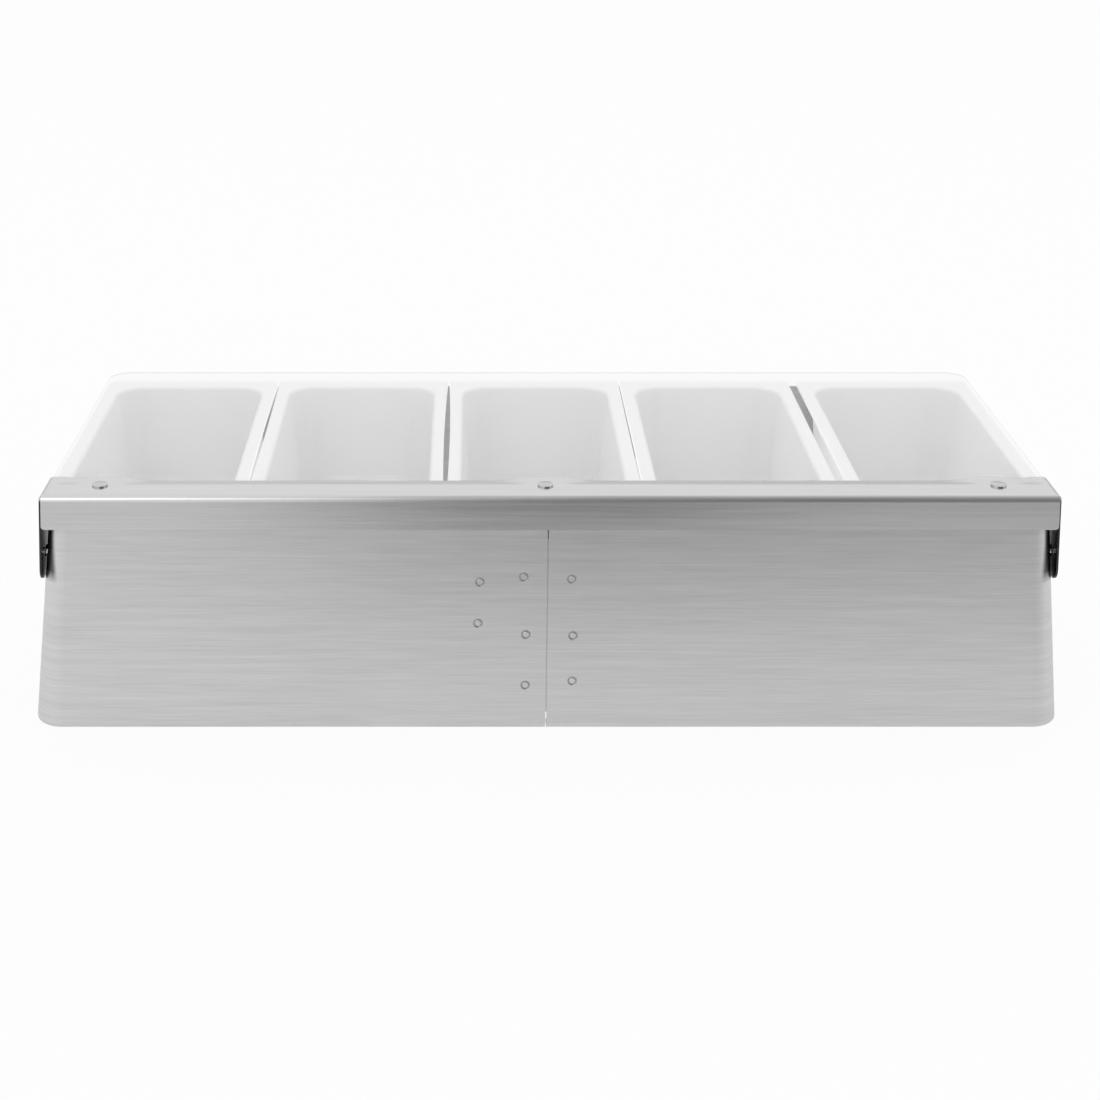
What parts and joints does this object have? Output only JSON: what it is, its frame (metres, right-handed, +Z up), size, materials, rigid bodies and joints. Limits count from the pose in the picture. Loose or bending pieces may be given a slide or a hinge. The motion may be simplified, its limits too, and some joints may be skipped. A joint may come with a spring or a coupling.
{
  "type": "bar condiment holder",
  "caption": "Flared stainless-steel condiment holder with lift-out plastic trays side by side and a clear flat lid that swings on a riveted rear hinge strip.",
  "frame": {"origin": "on the table, under the middle of the overall box", "axes": "+X along the row of trays, to the right as seen from the hinge side; +Y from the hinge to the front; +Z up"},
  "size_m": [0.4708, 0.1889, 0.1132],
  "materials": {
    "body_steel": "stainless, brushed lengthwise",
    "strip_steel": "stainless, fine brushed",
    "rivet_steel": "bright",
    "tray_plastic": "white, satin gloss",
    "clear_lid": "clear, polished",
    "washer_nylon": "natural nylon"
  },
  "bodies": {
    "body": {"body_shell": "body_steel", "seam_strap": "body_steel", "left_pivot_pin": "rivet_steel", "right_pivot_pin": "rivet_steel", "left_pivot_washer": "rivet_steel", "right_pivot_washer": "rivet_steel", "left_pin_retainer": "rivet_steel", "right_pin_retainer": "rivet_steel"},
    "lid": {"hinge_strip": "strip_steel", "lid_panel": "clear_lid", "lid_rivets": "rivet_steel", "lid_spacers": "washer_nylon"},
    "tray_1_body": {"tray_1": "tray_plastic"},
    "tray_2_body": {"tray_2": "tray_plastic"},
    "tray_3_body": {"tray_3": "tray_plastic"},
    "tray_4_body": {"tray_4": "tray_plastic"},
    "tray_5_body": {"tray_5": "tray_plastic"}
  },
  "joints": [
    {"name": "lid_hinge", "type": "hinge", "parent": "body", "child": "lid", "pos_m": [0, -0.08164, 0.0832], "axis": [1, 0, 0], "range_deg": [0, 110]},
    {"name": "tray_1_lift", "type": "slide", "parent": "body", "child": "tray_1_body", "axis": [0, 0, 1], "range_m": [0, 0.0007]},
    {"name": "tray_2_lift", "type": "slide", "parent": "body", "child": "tray_2_body", "axis": [0, 0, 1], "range_m": [0, 0.0007]},
    {"name": "tray_3_lift", "type": "slide", "parent": "body", "child": "tray_3_body", "axis": [0, 0, 1], "range_m": [0, 0.0007]},
    {"name": "tray_4_lift", "type": "slide", "parent": "body", "child": "tray_4_body", "axis": [0, 0, 1], "range_m": [0, 0.0007]},
    {"name": "tray_5_lift", "type": "slide", "parent": "body", "child": "tray_5_body", "axis": [0, 0, 1], "range_m": [0, 0.0007]}
  ]
}
